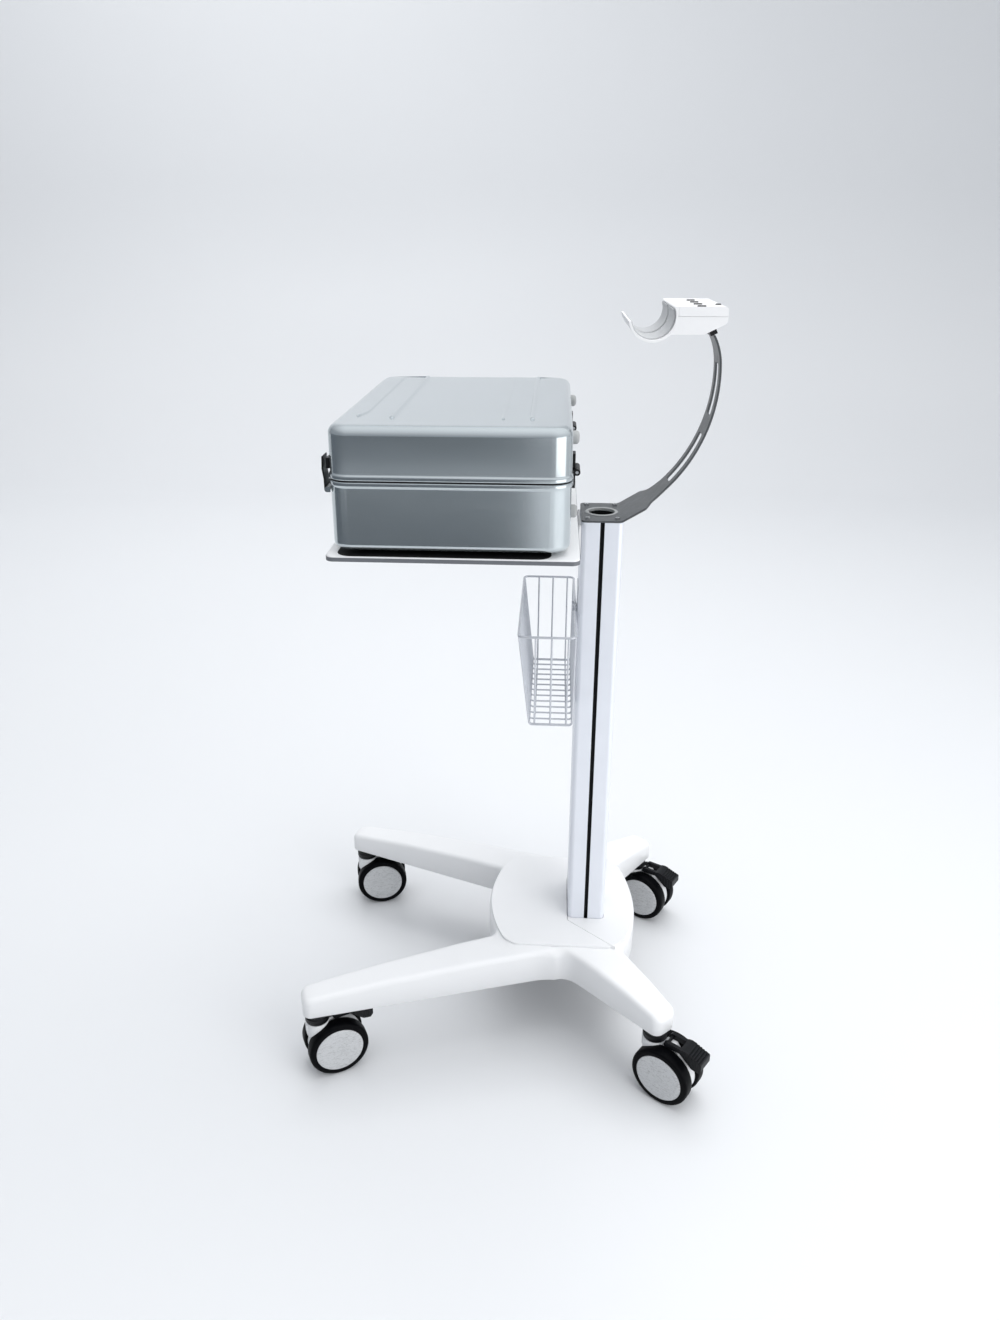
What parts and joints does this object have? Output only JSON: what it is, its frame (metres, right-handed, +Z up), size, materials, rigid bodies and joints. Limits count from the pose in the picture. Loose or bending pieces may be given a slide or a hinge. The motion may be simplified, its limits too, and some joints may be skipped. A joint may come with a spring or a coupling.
{
  "type": "portable ultrasound machine on a cart",
  "caption": "Clamshell ultrasound console on a rolling stand: slotted column, tray, bent arm with probe holder, wire basket, legged base on braked casters.",
  "frame": {"origin": "on the floor, straight under the axis of the column", "axes": "+Z up; the user stands at -X and faces +X, so +Y is the left side; the column stands along Z"},
  "size_m": [0.671, 0.5781, 1.211],
  "materials": {
    "base_white": "smooth moulded shell, satin",
    "frame_steel": "black e-coat",
    "column_aluminium": "silver powder coat over an extrusion",
    "screw_steel": "zinc plated",
    "caster_black": "moulded",
    "arm_grey": "fine textured powder coat",
    "holder_white": "satin",
    "holder_liner": "soft touch",
    "tray_white": "gloss powder coat",
    "wire_white": "plastic coated wire",
    "console_white": "high gloss",
    "rubber_black": "matt",
    "bumper_grey": "matt",
    "hardware_black": "moulded",
    "deck_grey": "fine texture",
    "keypad_silicone": "matt",
    "screen_glass": "display glass",
    "board_green": "circuit board",
    "supply_steel": "folded sheet",
    "fan_plastic": "moulded",
    "socket_grey": "moulded",
    "control_dark": "polished",
    "key_blue": "satin",
    "key_grey": "satin",
    "key_green": "satin",
    "caster_grey": "satin",
    "hub_grey": "satin",
    "tyre_black": "polyurethane"
  },
  "bodies": {
    "root": {"base_shell": "base_white", "base_frame": "frame_steel", "hub_cover_front": "base_white", "hub_cover_rear": "base_white", "column": "column_aluminium", "frame_screws": "screw_steel", "caster_stems": "caster_black", "arm": "arm_grey", "cable_grommet": "holder_white", "arm_collar": "hardware_black", "holder_body": "holder_white", "holder_lid": "holder_white", "holder_liners": "holder_liner", "tray": "tray_white", "tray_bracket": "tray_white", "basket_bracket": "wire_white", "lower_shell": "console_white", "shell_feet": "rubber_black", "rim_seal": "rubber_black", "control_deck": "deck_grey", "keypad": "keypad_silicone", "main_board": "board_green", "power_supply": "supply_steel", "fan_frame": "hardware_black", "probe_socket": "socket_grey", "mains_inlet": "hardware_black", "hinge_leaves": "hardware_black", "hinge_pins": "screw_steel"},
    "lid": {"lid_shell": "console_white", "display_bezel": "deck_grey", "lcd_panel": "screen_glass", "lid_bumpers": "bumper_grey", "hinge_arms": "hardware_black", "latch_keepers": "hardware_black"},
    "latch_right": {"latch_right": "hardware_black"},
    "latch_left": {"latch_left": "hardware_black"},
    "carry_handle": {"carry_handle": "hardware_black"},
    "basket": {"basket": "wire_white"},
    "trackball": {"trackball": "control_dark"},
    "gain_knob": {"gain_knob": "control_dark"},
    "freeze_key": {"freeze_key": "key_blue"},
    "select_key": {"select_key": "key_grey"},
    "power_button": {"power_button": "key_green"},
    "fan_rotor": {"fan_rotor": "fan_plastic"},
    "swivel_fr": {"caster_housing_fr": "caster_grey"},
    "wheels_fr": {"wheel_cores_fr": "hub_grey", "tyres_fr": "tyre_black"},
    "brake_fr": {"brake_pedal_fr": "caster_black"},
    "swivel_fl": {"caster_housing_fl": "caster_grey"},
    "wheels_fl": {"wheel_cores_fl": "hub_grey", "tyres_fl": "tyre_black"},
    "brake_fl": {"brake_pedal_fl": "caster_black"},
    "swivel_rr": {"caster_housing_rr": "caster_grey"},
    "wheels_rr": {"wheel_cores_rr": "hub_grey", "tyres_rr": "tyre_black"},
    "brake_rr": {"brake_pedal_rr": "caster_black"},
    "swivel_rl": {"caster_housing_rl": "caster_grey"},
    "wheels_rl": {"wheel_cores_rl": "hub_grey", "tyres_rl": "tyre_black"},
    "brake_rl": {"brake_pedal_rl": "caster_black"}
  },
  "joints": [
    {"name": "lid_hinge", "type": "hinge", "parent": "root", "child": "lid", "pos_m": [-0.0435, 0, 1.006], "axis": [0, 1, 0], "range_deg": [0, 85]},
    {"name": "latch_right_pivot", "type": "hinge", "parent": "root", "child": "latch_right", "pos_m": [-0.372, -0.205, 0.988], "axis": [0, -1, 0], "range_deg": [0, 95]},
    {"name": "latch_left_pivot", "type": "hinge", "parent": "root", "child": "latch_left", "pos_m": [-0.372, 0.205, 0.988], "axis": [0, -1, 0], "range_deg": [0, 95]},
    {"name": "handle_pivot", "type": "hinge", "parent": "root", "child": "carry_handle", "pos_m": [-0.376, 0, 0.969], "axis": [0, 1, 0], "range_deg": [0, 100]},
    {"name": "basket_lift", "type": "slide", "parent": "root", "child": "basket", "axis": [0, 0, 1], "range_m": [0, 0.03]},
    {"name": "trackball_roll", "type": "hinge", "parent": "root", "child": "trackball", "pos_m": [-0.298, 0, 0.977], "axis": [0, 1, 0], "continuous": true},
    {"name": "gain_turn", "type": "hinge", "parent": "root", "child": "gain_knob", "pos_m": [-0.3, -0.16, 0.985], "axis": [0, 0, 1], "range_deg": [-150, 150]},
    {"name": "freeze_key_press", "type": "slide", "parent": "root", "child": "freeze_key", "axis": [0, 0, -1], "range_m": [0, 0.0025], "stiffness_N_per_m": 250, "springref_m": -0.0015},
    {"name": "select_key_press", "type": "slide", "parent": "root", "child": "select_key", "axis": [0, 0, -1], "range_m": [0, 0.0025], "stiffness_N_per_m": 250, "springref_m": -0.0015},
    {"name": "power_button_press", "type": "slide", "parent": "root", "child": "power_button", "axis": [0, 0, -1], "range_m": [0, 0.0025], "stiffness_N_per_m": 250, "springref_m": -0.0015},
    {"name": "fan_spin", "type": "hinge", "parent": "root", "child": "fan_rotor", "pos_m": [-0.12, 0.212, 0.95], "axis": [0, 1, 0], "continuous": true},
    {"name": "swivel_fr_turn", "type": "hinge", "parent": "root", "child": "swivel_fr", "pos_m": [-0.442, -0.232, 0.1], "axis": [0, 0, 1], "continuous": true},
    {"name": "wheels_fr_roll", "type": "hinge", "parent": "swivel_fr", "child": "wheels_fr", "pos_m": [-0.41794, -0.21974, 0.05], "axis": [-0.454, 0.891, 0], "continuous": true},
    {"name": "brake_fr_press", "type": "hinge", "parent": "swivel_fr", "child": "brake_fr", "pos_m": [-0.41705, -0.21929, 0.107], "axis": [-0.454, 0.891, 0], "range_deg": [0, 5]},
    {"name": "swivel_fl_turn", "type": "hinge", "parent": "root", "child": "swivel_fl", "pos_m": [-0.442, 0.232, 0.1], "axis": [0, 0, 1], "continuous": true},
    {"name": "wheels_fl_roll", "type": "hinge", "parent": "swivel_fl", "child": "wheels_fl", "pos_m": [-0.41569, 0.23807, 0.05], "axis": [-0.225, 0.9744, 0], "continuous": true},
    {"name": "brake_fl_press", "type": "hinge", "parent": "swivel_fl", "child": "brake_fl", "pos_m": [-0.41472, 0.2383, 0.107], "axis": [-0.225, 0.9744, 0], "range_deg": [0, 5]},
    {"name": "swivel_rr_turn", "type": "hinge", "parent": "root", "child": "swivel_rr", "pos_m": [0.1105, -0.232, 0.1], "axis": [0, 0, 1], "continuous": true},
    {"name": "wheels_rr_roll", "type": "hinge", "parent": "swivel_rr", "child": "wheels_rr", "pos_m": [0.13262, -0.24749, 0.05], "axis": [0.5736, 0.8192, 0], "continuous": true},
    {"name": "brake_rr_press", "type": "hinge", "parent": "swivel_rr", "child": "brake_rr", "pos_m": [0.13344, -0.24806, 0.107], "axis": [0.5736, 0.8192, 0], "range_deg": [0, 5]},
    {"name": "swivel_rl_turn", "type": "hinge", "parent": "root", "child": "swivel_rl", "pos_m": [0.1105, 0.232, 0.1], "axis": [0, 0, 1], "continuous": true},
    {"name": "wheels_rl_roll", "type": "hinge", "parent": "swivel_rl", "child": "wheels_rl", "pos_m": [0.13364, 0.21809, 0.05], "axis": [0.515, 0.8572, 0], "continuous": true},
    {"name": "brake_rl_press", "type": "hinge", "parent": "swivel_rl", "child": "brake_rl", "pos_m": [0.1345, 0.21758, 0.107], "axis": [0.515, 0.8572, 0], "range_deg": [0, 5]}
  ]
}
